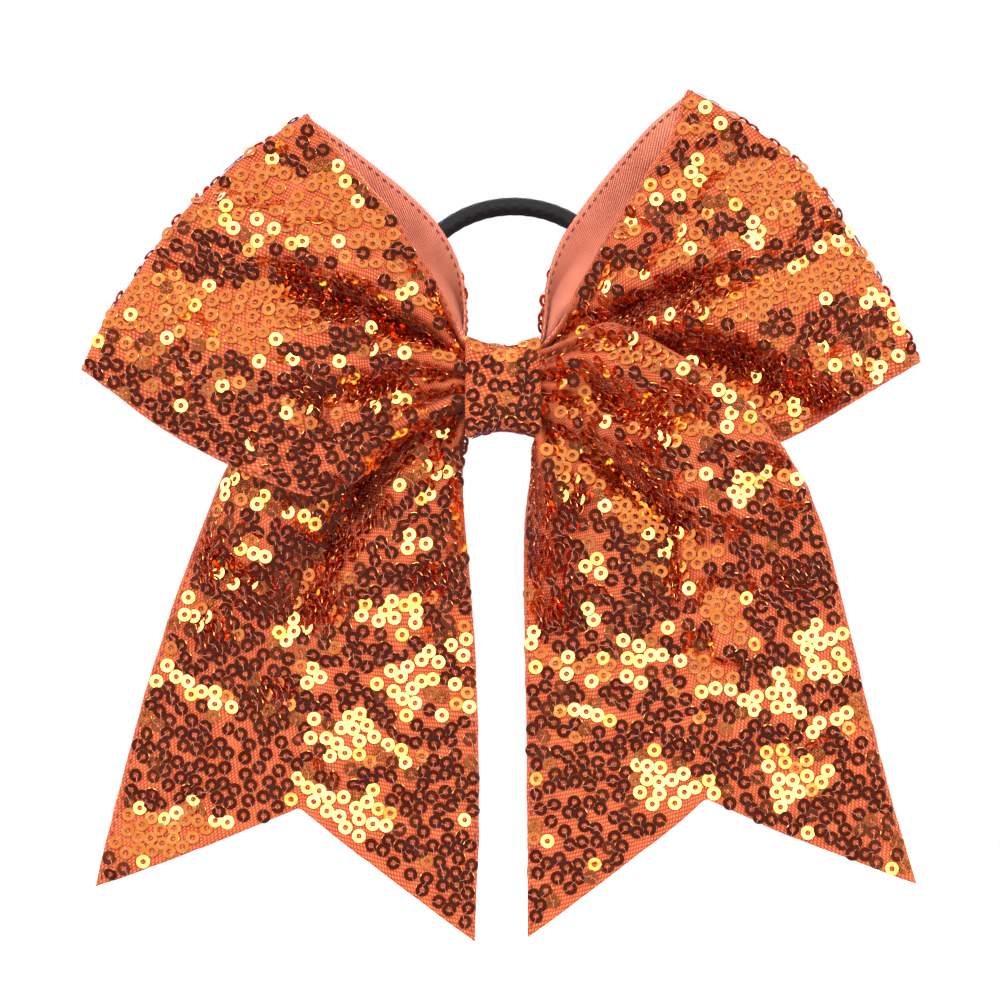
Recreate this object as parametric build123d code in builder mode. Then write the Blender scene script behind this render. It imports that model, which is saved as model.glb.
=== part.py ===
from build123d import *
import os
from math import cos, pi, radians, sin

# Cheer hair bow, millimetres. +Z is up as the bow is worn and the front faces -Y.
# The origin is the middle of the elastic's straight run through the knot, where the bow hangs on a ponytail.

# ---- driving dimensions ----
LINING = 0.7  # thickness of the ribbed lining
CLOTH = 0.6  # thickness of the sequined cloth
STITCH_HEIGHT = 0.25
STITCH_LIFT = 0.15  # the thread lies this far off the cloth
SEAM_INSET = (0.014, 0.022)  # where a seam runs, as shares of the ribbon's width from its edge

KNOT_HALF_WIDTH = 7.2
KNOT_FRONT = -12.5  # outer front face of the lining of the knot strip
KNOT_BACK = 2.8
KNOT_WAIST = (-8.1, 7.7)  # lowest and highest point of that lining at the middle
KNOT_RIM = (-9.7, 9.5)  # the same at the folded sides
KNOT_CORNER = 2.6

FRONT_STRIP = (-10.9, -7.6)  # where each pinched pass of the ribbon starts and ends, front to back
MIDDLE_STRIP = (-7.6, -4.6)
BACK_STRIP = (-4.6, -2.8)
FRONT_LEVEL = -9.3  # depth at which the ribbon's two layers meet beside the knot
MIDDLE_LEVEL = -6.1
BACK_LEVEL = -3.6
FOLD_LEVEL = -6.9  # depth of the loops' outer folds
FOLD_GAP = 0.9  # from the fold's middle to where the layers meet on each side

GATHER_WAIST = (-6.7, 6.3)  # lowest and highest point of the pinched passes at the middle
GATHER_WAIST_RUN = 2.0  # half the stretch that the gathering thread covers
GATHER_EDGE = 7.4  # the passes leave the knot just past here
GATHER_EDGE_REACH = (-7.8, 7.8)  # their lowest and highest point there
GATHER_CORNER = 0.8
LOOP_FRONT_FAN = ((8.2, -6.6, 11.2), (11.5, -7.0, 16.6))  # outside it: distance out, lowest, highest
LOOP_BACK_FAN = ((8.4, -5.6, 19.0), (11.5, -5.6, 29.5))
LOOP_START = 13.0
TAIL_START = 7.6

TAIL_HINGE_Z = -26.0
TAIL_GAP = 1.5  # half the gap across the hinge line
NOTCH_FLOOR = -125.0  # the V cuts' cutters reach down to here and out to here
NOTCH_SIDE = 90.0
CUTTER_REACH = 60.0  # and this far forwards and back
LEFT_TAIL_LEVEL = -7.5
RIGHT_TAIL_LEVEL = -11.5

THREAD = 0.5  # gathering thread and hand stitches
THREAD_TURNS = 4
THREAD_PITCH = 0.9

LAP_BOTTOM = -2.5  # the knot strip's lapped end, at the back
LAP_TOP = 5.0
LAP_THICKNESS = LINING + CLOTH
LAP_SIDE_GAP = 0.5
LAP_CLEARANCE = 0.05
STITCH_COUNT = 5
STITCH_LENGTH = 2.4
STITCH_SPACING = 2.4

CORD = 3.7  # elastic, over the braid
RUBBER = 2.9
ELASTIC_LEAN = 22.0  # degrees back from upright
CORD_RUN = 7.8  # half the straight run through the knot
CORD_JOINT = 3.0  # half the length of the bonded joint
RIGHT_BEND = 16.2
LEFT_BEND = 11.8
TOP_RADIUS = 21.8
RIGHT_RISE = 2.1  # straight stretch between the right bend and the top

ACROSS = 9  # points across and along each ribbon surface
ALONG = 11

os.makedirs("parts", exist_ok=True)


def save(part, name):
    """Labels a finished piece and writes it."""
    part.label = name
    export_step(part, f"parts/{name}.step")


# ---- ribbon surfaces ----
def edge_through(points):
    """A smooth edge in the front view, through points given as (x, z)."""
    return Edge.make_spline([(x, 0, z) for x, z in points])


def ribbon_face(upper, lower, depth, far=None, span=(0.0, 1.0), lift=0.0):
    """The surface between two edges, from the knot outwards; depth(s, t) is its y, and far bows its far end."""
    rows = []
    for i in range(ACROSS):
        s = span[0] + (span[1] - span[0]) * i / (ACROSS - 1)
        row = []
        for j in range(ALONG):
            t = j / (ALONG - 1)
            place = (upper @ t) * (1 - s) + (lower @ t) * s
            if far:
                place += ((far @ s) - (far @ 0) * (1 - s) - (far @ 1) * s) * t
            row.append((place.X, depth(s, t) + lift, place.Z))
        rows.append(row)
    return Face.make_surface_from_array_of_points(rows)


def layer(name, face, thickness, notch=None):
    """One layer of ribbon, thickness deep along y; notch is the V cut of a tail end, as (x, z) corners."""
    with BuildPart() as piece:
        extrude(face, amount=abs(thickness), dir=(0, 1 if thickness > 0 else -1, 0))
        if notch:
            with BuildSketch(Plane.XZ):
                with BuildLine():
                    Polyline(*notch, close=True)
                make_face()
            extrude(amount=CUTTER_REACH, both=True, mode=Mode.SUBTRACT)
    save(piece.part, name)


def stitching(name, panels, outward):
    """The two edge seams of one or more panels, as a group of separate thin threads."""
    with BuildPart() as seams:
        for upper, lower, depth, far, inset, notch in panels:
            lift = outward * (CLOTH + STITCH_LIFT)
            for span in (inset, (1 - inset[1], 1 - inset[0])):
                face = ribbon_face(upper, lower, depth, far, span, lift)
                extrude(face, amount=STITCH_HEIGHT, dir=(0, outward, 0))
            if notch:
                with BuildSketch(Plane.XZ):
                    with BuildLine():
                        Polyline(*notch, close=True)
                    make_face()
                extrude(amount=CUTTER_REACH, both=True, mode=Mode.SUBTRACT)
    save(seams.part, name)


def loop_depth(near, bulge, skew, side, fade=0.0):
    """Depth of a loop's front (side -1) or back (side 1) layer, which swells between the knot and the fold."""
    far = FOLD_LEVEL + side * FOLD_GAP

    def depth(s, t):
        return near + (far - near) * t + side * bulge * (1 - fade * s) * sin(pi * t**skew)

    return depth


# Left loop: corners of the fold, then the edges from the knot to them.
left_fold = edge_through([(-38.6, 54.0), (-53.2, 44.0), (-66.4, 29.8), (-76.8, 15.2), (-83.0, 3.2)])
left_front_top = edge_through([(-LOOP_START, 19.6), (-18.2, 28.2), (-26.6, 39.8), (-38.6, 54.0)])
left_front_low = edge_through(
    [(-LOOP_START, -7.2), (-22.0, -15.0), (-33.0, -20.8), (-54.2, -15.2), (-71.4, -4.8), (-83.0, 3.2)]
)
left_back_top = edge_through([(-LOOP_START, 32.6), (-21.8, 41.4), (-32.4, 49.8), (-38.6, 54.0)])
left_back_low = edge_through([(-LOOP_START, -6.0), (-30.0, -12.5), (-54.0, -11.5), (-72.0, -3.0), (-83.0, 3.2)])

# Right loop.
right_fold = edge_through([(36.6, 58.8), (48.8, 51.6), (60.0, 42.4), (71.4, 25.8), (79.0, 11.2), (82.4, 4.8)])
right_front_top = edge_through([(LOOP_START, 16.0), (20.0, 28.8), (27.6, 41.2), (34.6, 51.8), (36.6, 58.8)])
right_front_low = edge_through(
    [(LOOP_START, -6.0), (26.0, -14.0), (42.0, -16.0), (58.6, -9.2), (75.8, 1.0), (82.4, 4.8)]
)
right_back_top = edge_through([(LOOP_START, 31.6), (20.2, 41.2), (31.0, 54.0), (36.6, 58.8)])
right_back_low = edge_through([(LOOP_START, -5.0), (30.0, -11.5), (54.0, -9.0), (72.0, 0.0), (82.4, 4.8)])

loops = {
    "left_loop_front": (left_front_top, left_front_low, loop_depth(FRONT_LEVEL, 8.0, 1.4, -1), left_fold, -1),
    "left_loop_back": (left_back_top, left_back_low, loop_depth(BACK_LEVEL, 6.0, 1.5, 1), left_fold, 1),
    "right_loop_front": (
        right_front_top,
        right_front_low,
        loop_depth(MIDDLE_LEVEL, 9.0, 2.2, -1, fade=0.6),
        right_fold,
        -1,
    ),
    "right_loop_back": (right_back_top, right_back_low, loop_depth(BACK_LEVEL, 6.0, 1.5, 1), right_fold, 1),
}
for name, (upper, lower, depth, far, outward) in loops.items():
    face = ribbon_face(upper, lower, depth, far)
    layer(f"{name}_lining", face, -outward * LINING)
    layer(f"{name}_sequin_cloth", face, outward * CLOTH)
    stitching(f"{name}_edge_stitching", [(upper, lower, depth, far, SEAM_INSET, None)], outward)


# ---- tails ----
def upper_tail_depth(near, level, bulge):
    """Depth of the part of a tail that fans out of the knot; its outer edge stands furthest forward."""

    def depth(s, t):
        return near + (level - near) * t - bulge * (1 - s) * sin(pi * t)

    return depth


def lower_tail_depth(level):
    """Depth of the hanging part of a tail: two shallow folds that fade towards its end."""

    def depth(s, t):
        return level - 1.2 * (1 - 0.5 * t) * cos(3 * pi * s) * sin(pi * (0.15 + 0.7 * t))

    return depth


high = TAIL_HINGE_Z + TAIL_GAP
low = TAIL_HINGE_Z - TAIL_GAP
left_outer_up = edge_through(
    [(-TAIL_START, 6.0), (-20.0, 9.5), (-35.0, 3.5), (-47.0, -6.0), (-54.2, -15.6), (-58.2, high)]
)
left_inner_up = edge_through([(-TAIL_START, -8.6), (-8.2, -16.2), (-7.7, high)])
right_outer_up = edge_through(
    [(TAIL_START, 7.0), (21.6, 12.6), (34.2, 6.0), (47.0, -2.6), (57.8, -17.6), (61.7, high)]
)
right_inner_up = edge_through([(TAIL_START, -8.6), (6.0, -16.0), (4.7, high)])
left_outer = edge_through([(-59.6, low), (-66.2, -45.4), (-74.2, -72.2), (-81.0, -99.2)])
left_inner = edge_through([(-7.5, low), (-5.4, -43.0), (-4.8, -72.0), (-5.6, -110.2)])
right_outer = edge_through([(63.2, low), (68.6, -47.8), (74.6, -73.4), (81.8, -98.4)])
right_inner = edge_through([(4.5, low), (4.3, -43.0), (4.7, -72.0), (4.9, -109.0)])


def v_cut(outer_tip, middle, inner_tip):
    """Corners of the cutter that leaves a tail with two tips and a V between them."""
    side = NOTCH_SIDE if outer_tip[0] > 0 else -NOTCH_SIDE
    return [outer_tip, middle, inner_tip, (inner_tip[0], NOTCH_FLOOR), (side, NOTCH_FLOOR), (side, outer_tip[1])]


left_notch = v_cut((-81.0, -99.2), (-41.8, -85.0), (-5.6, -110.2))
right_notch = v_cut((81.8, -98.4), (40.4, -83.0), (4.9, -109.0))

tails = {
    "left_tail_upper": (left_outer_up, left_inner_up, upper_tail_depth(MIDDLE_LEVEL, LEFT_TAIL_LEVEL, 1.0), None),
    "right_tail_upper": (right_outer_up, right_inner_up, upper_tail_depth(FRONT_LEVEL, RIGHT_TAIL_LEVEL, 6.5), None),
    "left_tail": (left_outer, left_inner, lower_tail_depth(LEFT_TAIL_LEVEL), left_notch),
    "right_tail": (right_outer, right_inner, lower_tail_depth(RIGHT_TAIL_LEVEL), right_notch),
}
for name, (upper, lower, depth, notch) in tails.items():
    face = ribbon_face(upper, lower, depth)
    layer(f"{name}_lining", face, LINING, notch)
    layer(f"{name}_sequin_cloth", face, -CLOTH, notch)
    if notch:
        stitching(f"{name}_edge_stitching", [(upper, lower, depth, None, SEAM_INSET, notch)], -1)


# ---- the pinched middle of the ribbon ----
def strip_gather(name, strip, left_fan=(), right_fan=()):
    """One pinched pass: waisted under the thread, and fanning out at an end that runs into a loop.

    A fan is a list of (distance from the middle, lowest point, highest point), from the knot outwards.
    """
    front, back = strip
    stations = [(-x, low_z, high_z) for x, low_z, high_z in reversed(left_fan)]
    for x in (-GATHER_EDGE, -GATHER_WAIST_RUN, GATHER_WAIST_RUN, GATHER_EDGE):
        reach = GATHER_EDGE_REACH if abs(x) > GATHER_WAIST_RUN else GATHER_WAIST
        stations.append((x, *reach))
    stations += list(right_fan)
    with BuildPart() as gather:
        for x, low_z, high_z in stations:
            with BuildSketch(Plane.YZ.offset(x)):
                with Locations(((front + back) / 2, (low_z + high_z) / 2)):
                    RectangleRounded(back - front, high_z - low_z, GATHER_CORNER)
        loft(ruled=True)
    save(gather.part, name)


strip_gather("front_strip_gather", FRONT_STRIP, left_fan=LOOP_FRONT_FAN)
strip_gather("middle_strip_gather", MIDDLE_STRIP, right_fan=LOOP_FRONT_FAN)
strip_gather("back_strip_gather", BACK_STRIP, left_fan=LOOP_BACK_FAN, right_fan=LOOP_BACK_FAN)

# The thread that holds the gathers: separate turns side by side round the three passes.
thread_low = GATHER_WAIST[0] - THREAD / 2
thread_high = GATHER_WAIST[1] + THREAD / 2
thread_front = FRONT_STRIP[0] - THREAD / 2
thread_back = BACK_STRIP[1] + THREAD / 2
with BuildPart() as gather_thread:
    for turn in range(THREAD_TURNS):
        x = (turn - (THREAD_TURNS - 1) / 2) * THREAD_PITCH
        middle = ((thread_front + thread_back) / 2, (thread_low + thread_high) / 2)
        with BuildSketch(Plane.YZ.offset(x - THREAD / 2)):
            with Locations(middle):
                RectangleRounded(
                    thread_back - thread_front + THREAD, thread_high - thread_low + THREAD, GATHER_CORNER + THREAD
                )
                RectangleRounded(
                    thread_back - thread_front - THREAD,
                    thread_high - thread_low - THREAD,
                    GATHER_CORNER,
                    mode=Mode.SUBTRACT,
                )
        extrude(amount=THREAD)
save(gather_thread.part, "gather_thread")


# ---- knot ----
def knot_body(grow):
    """The solid inside one surface of the knot strip, pinched at the middle and wider at the folded sides."""
    with BuildPart() as body:
        for x, (bottom, top) in ((-KNOT_HALF_WIDTH, KNOT_RIM), (0.0, KNOT_WAIST), (KNOT_HALF_WIDTH, KNOT_RIM)):
            with BuildSketch(Plane.YZ.offset(x)):
                with Locations(((KNOT_FRONT + KNOT_BACK) / 2, (bottom + top) / 2)):
                    RectangleRounded(
                        KNOT_BACK - KNOT_FRONT + 2 * grow, top - bottom + 2 * grow, KNOT_CORNER + grow
                    )
        loft()
    return body.part


for name, inner, outer in (("knot_lining", -LINING, 0.0), ("knot_sequin_cloth", 0.0, CLOTH)):
    with BuildPart() as band:
        add(knot_body(outer))
        add(knot_body(inner), mode=Mode.SUBTRACT)
    save(band.part, name)

lap_face = KNOT_BACK + CLOTH + LAP_CLEARANCE
with BuildPart() as knot_lapped_end:
    with BuildSketch(Plane.XZ.offset(-lap_face)):
        with Locations((0, (LAP_BOTTOM + LAP_TOP) / 2)):
            Rectangle(2 * (KNOT_HALF_WIDTH - LAP_SIDE_GAP), LAP_TOP - LAP_BOTTOM)
    extrude(amount=-LAP_THICKNESS)
    fillet(knot_lapped_end.edges().filter_by(Axis.X).group_by(Axis.Y)[-1], LAP_THICKNESS / 3)
save(knot_lapped_end.part, "knot_lapped_end")

with BuildPart() as knot_hand_stitches:
    stitch_depth = lap_face + LAP_THICKNESS + LAP_CLEARANCE + THREAD / 2
    with BuildSketch(Plane.XY.offset(LAP_BOTTOM - STITCH_LENGTH / 2)):
        with Locations((0, stitch_depth)):
            with GridLocations(STITCH_SPACING, 1, STITCH_COUNT, 1):
                Circle(THREAD / 2)
    extrude(amount=STITCH_LENGTH)
save(knot_hand_stitches.part, "knot_hand_stitches")

# ---- hair elastic ----
lean = radians(ELASTIC_LEAN)
ring_plane = Plane(origin=(0, 0, 0), x_dir=(1, 0, 0), z_dir=(0, -cos(lean), sin(lean)))
right_side = CORD_RUN + RIGHT_BEND
left_side = right_side - 2 * TOP_RADIUS
top_level = RIGHT_BEND + RIGHT_RISE
for name, outer, inner in (("hair_elastic_sheath", CORD / 2, RUBBER / 2), ("hair_elastic_core", RUBBER / 2, 0.0)):
    with BuildPart() as cord:
        with BuildLine(ring_plane):
            Line((CORD_JOINT, 0), (CORD_RUN, 0))
            JernArc((CORD_RUN, 0), (1, 0), RIGHT_BEND, 90)
            Line((right_side, RIGHT_BEND), (right_side, top_level))
            JernArc((right_side, top_level), (0, 1), TOP_RADIUS, 180)
            Line((left_side, top_level), (left_side, LEFT_BEND))
            JernArc((left_side, LEFT_BEND), (0, -1), LEFT_BEND, 90)
            Line((left_side + LEFT_BEND, 0), (-CORD_JOINT, 0))
        with BuildSketch(Plane.YZ.offset(CORD_JOINT)):
            Circle(outer)
            if inner:
                Circle(inner, mode=Mode.SUBTRACT)
        sweep()
    save(cord.part, name)
with BuildPart() as hair_elastic_joint:
    with BuildSketch(Plane.YZ.offset(-CORD_JOINT)):
        Circle(CORD / 2)
    extrude(amount=2 * CORD_JOINT)
save(hair_elastic_joint.part, "hair_elastic_joint")
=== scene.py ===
"""Looks of the cheer hair bow: sequined ribbon loops and tails, wrapped knot and braided hair elastic.

Lengths are millimetres in the CAD's frame: x to the right, z up, the front facing -y. They become metres
where a mesh is made.
"""
import math
from math import pi

import bpy
import numpy as np
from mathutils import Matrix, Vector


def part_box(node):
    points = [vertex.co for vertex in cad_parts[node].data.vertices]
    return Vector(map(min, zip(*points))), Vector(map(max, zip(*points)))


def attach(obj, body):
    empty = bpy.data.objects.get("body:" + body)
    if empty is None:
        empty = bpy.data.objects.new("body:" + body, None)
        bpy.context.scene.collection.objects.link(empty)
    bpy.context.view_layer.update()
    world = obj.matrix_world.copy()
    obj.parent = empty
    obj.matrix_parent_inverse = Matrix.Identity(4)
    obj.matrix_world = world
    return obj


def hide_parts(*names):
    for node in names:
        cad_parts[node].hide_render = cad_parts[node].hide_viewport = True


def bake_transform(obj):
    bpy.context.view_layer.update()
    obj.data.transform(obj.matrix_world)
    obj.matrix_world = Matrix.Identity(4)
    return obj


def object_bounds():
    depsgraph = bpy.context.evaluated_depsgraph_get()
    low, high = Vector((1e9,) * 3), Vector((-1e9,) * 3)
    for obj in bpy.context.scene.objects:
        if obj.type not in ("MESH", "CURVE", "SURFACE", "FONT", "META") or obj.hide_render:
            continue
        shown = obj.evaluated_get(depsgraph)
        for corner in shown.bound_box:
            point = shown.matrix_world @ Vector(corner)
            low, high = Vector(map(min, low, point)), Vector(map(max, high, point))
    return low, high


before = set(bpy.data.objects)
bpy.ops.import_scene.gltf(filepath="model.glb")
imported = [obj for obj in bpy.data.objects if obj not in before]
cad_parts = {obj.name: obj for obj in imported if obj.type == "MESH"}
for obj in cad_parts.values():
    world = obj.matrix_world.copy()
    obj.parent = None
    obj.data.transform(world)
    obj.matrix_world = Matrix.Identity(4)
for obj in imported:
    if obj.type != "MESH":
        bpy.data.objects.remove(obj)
cad_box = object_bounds()
scene = bpy.context.scene
MM = 0.001

# ---- sizes ----
RIBBON = 76.2
LINING = 0.4
CLOTH = 0.4
FRONT_LEVEL = -9.3  # depths of the three passes of the ribbon through the knot
MIDDLE_LEVEL = -6.1
BACK_LEVEL = -3.6
FOLD_RADIUS = 1.3
LAYER_GAP = 1.8  # least distance between a loop's two layers
ROWS = 92  # mesh rows across the ribbon
COLUMN_STEP = 0.85  # mesh spacing along it
FOLD_STEPS = 7  # mesh steps round a loop's outer fold
FOLD_SCALE = 1.3  # multiplies the heights in the fold tables
PLEATS = 4.5  # pleats across the ribbon
PLEAT_REACH = 27.0  # distance from the knot over which they fade
FRONT_RIPPLE = 0.6  # undulation of a loop's front layer, and of the other panels
RIPPLE = 0.5
CAMERA_HEIGHT = -22.4
TIP_LOSS = 0.029  # degrees less tip per millimetre above the camera, for the same reflection
SEQUIN_OUTER = 1.42
SEQUIN_HOLE = 0.58
SEQUIN_THICKNESS = 0.09
SEQUIN_SIDES = 14
SEQUIN_SPACING = 2.3
SEQUIN_MARGIN = 1.6
SEQUIN_TRIES = 30  # random places tried per sequin
CLOSEST = 0.6  # least share of the spacing, where sequins crowd
LOOSE_SHARE = 0.04  # share of the sequins that tilt further
SEQUINS_CLEAR = (8.2, 11.5)  # half width and height of the knot's zone without sequins
STITCHES_CLEAR = (8.0, 11.0)
SEWING_THREAD = 0.04  # radii of the threads
SEAM_THREAD = 0.2
HAND_THREAD = 0.24
STITCH_PITCH = 1.9
STITCH_LENGTH = 1.15
STITCH_MARGIN = 0.9


# ---- curves and grids ----
def smooth(x):
    x = np.clip(x, 0.0, 1.0)
    return x * x * (3 - 2 * x)


def unit(v):
    return v / (np.linalg.norm(v, axis=-1)[..., None] + 1e-9)


def steps_of(points, axis=0):
    """Distances between neighbouring points of a line or a grid."""
    return np.linalg.norm(np.diff(points, axis=axis), axis=-1)


def lengths_along(line):
    return np.concatenate([[0], np.cumsum(steps_of(line))])


def sampled(distances, length, values):
    """Values known at the lengths along a line, at other distances along it."""
    return np.stack([np.interp(distances, length, column) for column in values.T], axis=1)


def through(points, steps):
    """A smooth curve through the given points, with steps[k] points in span k, and the last point."""
    p = np.array(points, float)
    p = np.vstack([2 * p[0] - p[1], p, 2 * p[-1] - p[-2]])
    out = []
    for k, n in enumerate(steps):
        a, b, c, d = p[k : k + 4]
        t = (np.arange(n) / n)[:, None]
        square, cube = 2 * a - 5 * b + 4 * c - d, 3 * b - a - 3 * c + d
        out.append(0.5 * (2 * b + (c - a) * t + square * t**2 + cube * t**3))
    return np.vstack(out + [p[-2:-1]])


def edges_of(pairs):
    """The two edges of a panel from (edge one, edge two) pairs, point across from point."""
    one = np.array([a for a, b in pairs], float)
    two = np.array([b for a, b in pairs], float)
    spans = (steps_of(one) + steps_of(two)) / 2
    steps = np.maximum(2, np.ceil(spans / COLUMN_STEP)).astype(int)
    return through(one, steps), through(two, steps)


def relief(xz, folds):
    """Height towards the viewer from fold lines in the front view."""
    flat = xz.reshape(-1, 2)
    total = np.zeros(len(flat))
    for points, heights, widths in folds:
        line = through(points, [12] * (len(points) - 1))
        gap = np.linalg.norm(flat[:, None] - line[None], axis=2)
        along = gap.argmin(1) / (len(line) - 1)
        height = np.interp(along, np.linspace(0, 1, len(heights)), heights)
        width = np.interp(along, np.linspace(0, 1, len(widths)), widths)
        total += height * np.exp(-((gap.min(1) / width) ** 2))
    return total.reshape(xz.shape[:-1])


def ripple(xz, seed, height, longest=44.0, shortest=16.0, waves=14):
    """Gentle uneven undulation, the same each run."""
    rng = np.random.default_rng(seed)
    total = np.zeros(xz.shape[:-1])
    for _ in range(waves):
        angle = rng.uniform(0, pi)
        length = rng.uniform(shortest, longest)
        phase = rng.uniform(0, 2 * pi)
        wave = (xz[..., 0] * math.cos(angle) + xz[..., 1] * math.sin(angle)) * 2 * pi / length
        total += np.sin(wave + phase) * length / longest
    return total * height / math.sqrt(waves / 2)


def facets(height, xz, spots):
    """The height towards the viewer with small patches levelled and tipped."""
    for x, z, radius, degrees in spots:
        across, up = xz[..., 0] - x, xz[..., 1] - z
        way = np.arctan2(up, across)
        reach = 1.2 * radius * (1 + 0.28 * np.sin(3 * way + x) + 0.14 * np.sin(5 * way + z))
        share = np.exp(-(((across**2 + up**2) / reach**2) ** 3))
        level = (height * share).sum() / share.sum()
        lean = degrees - TIP_LOSS * (z - CAMERA_HEIGHT)
        height = height * (1 - share) + (level - math.tan(math.radians(lean)) * up) * share
    return height


def panel(pairs, depth, folds, spots, seed, rough, reach=None, pleat=1.0):
    """A ribbon panel as a grid of points, rows across and columns from the knot.

    s is the share across it and t along it: depth(s, t) is how deep it lies, and reach(s) where a row stops.
    """
    one, two = edges_of(pairs)
    s = np.linspace(0, 1, ROWS)[:, None]
    count = len(one)
    t = np.linspace(0, 1, count)[None, :] * (reach(s) if reach else 1.0) * np.ones_like(s)
    place = t * (count - 1)
    low = np.clip(place.astype(int), 0, count - 2)
    part = (place - low)[..., None]
    edge_one = one[low] * (1 - part) + one[low + 1] * part
    edge_two = two[low] * (1 - part) + two[low + 1] * part
    xz = edge_one * (1 - s[..., None]) + edge_two * s[..., None]
    out = np.linalg.norm(xz, axis=2)
    free = smooth((out - 6.0) / 14.0)  # 0 in the knot, where folds are low and nothing ripples
    height = relief(xz, folds) * FOLD_SCALE * (0.3 + 0.7 * free)
    height += ripple(xz, seed, rough) * free - depth(s, t)
    swell = 1.0 + 1.1 * smooth((out - 7.0) / 7.0)
    height += pleat * swell * np.cos(2 * pi * PLEATS * s) * np.exp(-((out / PLEAT_REACH) ** 2))
    height = facets(height, xz, spots)
    return np.stack([xz[..., 0], -height, xz[..., 1]], axis=2)


# ---- outlines of the panels in the front view: (edge one, edge two) from the knot out ----
AT_KNOT = ((0, 5.8), (0, -5.8))
LEFT_FRONT = [
    AT_KNOT, ((-6.9, 8), (-7, -3)), ((-9.8, 14), (-13.5, -6.8)), ((-13.6, 21.4), (-21.5, -11.8)),
    ((-18.2, 28.2), (-29.5, -18.4)), ((-21.8, 34.6), (-38, -21.4)), ((-26.6, 39.8), (-51, -16.6)),
    ((-32.2, 46.6), (-67, -8.4)), ((-38.6, 54), (-83, 3.2)),
]
LEFT_BACK = [
    AT_KNOT, ((-6.9, 8.2), (-7, -6.6)), ((-7.5, 15.5), (-11, -8)), ((-8.6, 23.5), (-17.5, -10)),
    ((-12.4, 31.6), (-30, -13.5)), ((-18.5, 38.4), (-44, -14)), ((-25.5, 44.4), (-58, -10.8)),
    ((-32.4, 49.8), (-71, -3.6)), ((-38.6, 54), (-83, 3.2)),
]
LEFT_FOLD = [(-38.6, 54), (-53.2, 44), (-66.4, 29.8), (-76.8, 15.2), (-83, 3.2)]
RIGHT_FRONT = [
    AT_KNOT, ((6.9, 7.6), (6.9, -6.4)), ((11.6, 13), (14, -9)), ((14.6, 19.2), (22, -12.2)),
    ((20, 28.8), (33, -15.4)), ((24.4, 35.6), (45, -14.6)), ((29.4, 43.8), (58.6, -9.2)),
    ((33.2, 49.6), (70.5, -2.2)), ((36.6, 58.8), (82.4, 4.8)),
]
RIGHT_BACK = [
    AT_KNOT, ((6.9, 8.2), (6.9, -6.4)), ((8.3, 14.5), (11.5, -7.5)), ((9, 21.5), (17.5, -8.4)),
    ((11.8, 29.6), (30, -11)), ((17.4, 38), (44, -11)), ((23.8, 46.2), (58, -6.4)),
    ((30.2, 53.4), (70.5, 0)), ((36.6, 58.8), (82.4, 4.8)),
]
RIGHT_FOLD = [(36.6, 58.8), (48.8, 51.6), (60, 42.4), (71.4, 25.8), (79, 11.2), (82.4, 4.8)]
LEFT_TAIL = [
    AT_KNOT, ((-6.9, 6.6), (-6.9, -7.8)), ((-16, 8.5), (-8.2, -12.5)), ((-30, 5.5), (-8.3, -17)),
    ((-44, -3.5), (-8, -23)), ((-53.4, -14), (-7.5, -29)), ((-58.4, -24.8), (-6.8, -36)),
    ((-66.2, -45.4), (-5.5, -55)), ((-74.2, -72.2), (-4.8, -82)), ((-81, -99.2), (-5.6, -110.2)),
]
RIGHT_TAIL = [
    AT_KNOT, ((6.9, 7), (6.6, -7.4)), ((14, 9.8), (6.2, -12)), ((21.8, 12.6), (6, -16.5)),
    ((34.2, 6.2), (5.1, -22)), ((46.6, -2.2), (4.4, -27.5)), ((54.2, -11.2), (4.2, -33)),
    ((61.6, -24), (4.2, -41)), ((67, -42), (4.5, -56)), ((74.6, -73.4), (4.8, -83)),
    ((81.8, -98.4), (4.9, -109)),
]
LEFT_V = 19.8  # depth of the V cut
RIGHT_V = 20.9

# Folds in the cloth: the line, its heights towards the viewer and its widths, both from start to end.
LEFT_LOOP_FOLDS = [
    ([(-64, 27), (-52, 28), (-43, 26), (-34, 24), (-24, 19.5), (-13, 13)], (3.5, 4.5, 3, 1.5), (7, 6, 3)),
    ([(-60, 38), (-50, 39.5), (-38, 39), (-28, 35)], (-2.5, -3, -2), (6, 6)),
    ([(-46, 22), (-38, 19), (-28, 15), (-18, 11), (-8, 7)], (-1.5, -5, -5, -3), (5, 4, 2.2)),
    ([(-74, 3), (-52, 1), (-38, 3), (-23, 4.5), (-10, 3.5)], (4.5, 5.5, 4, 2), (10, 8, 3)),
    ([(-48, -4.5), (-36, -2), (-23, -0.8), (-9, -0.8)], (-1, -3.5, -2.5), (5, 3.5, 2)),
    ([(-52, -12), (-36, -9), (-23, -5.5), (-10, -2.8)], (2.5, 2.5, 1), (6, 4, 2)),
    ([(-31, -19), (-18, -10), (-9, -4.6)], (-3, -3, -1.5), (4, 3)),
]
RIGHT_LOOP_FOLDS = [
    ([(14, 16), (22, 19), (31, 22), (38, 23.5), (48, 26), (60, 29)], (1.5, 3.5, 4, 3), (3, 6)),
    ([(24, 35), (36, 39), (50, 43)], (-2, -2), (7, 7)),
    ([(9, 7.6), (18.7, 12.6), (28.9, 16.8), (36.6, 19.5), (46, 21)], (-2.5, -5, -4.5, -1.5), (2, 4)),
    ([(12, 8), (20, 9.5), (34, 10.5), (47, 9), (60, 4), (72, -1)], (2, 4.5, 5, 4), (3.5, 8)),
    ([(30, 6), (44, 4), (52, 1.5), (60, -2), (65, -5)], (-3, -4.5, -2), (4, 5)),
]
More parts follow.
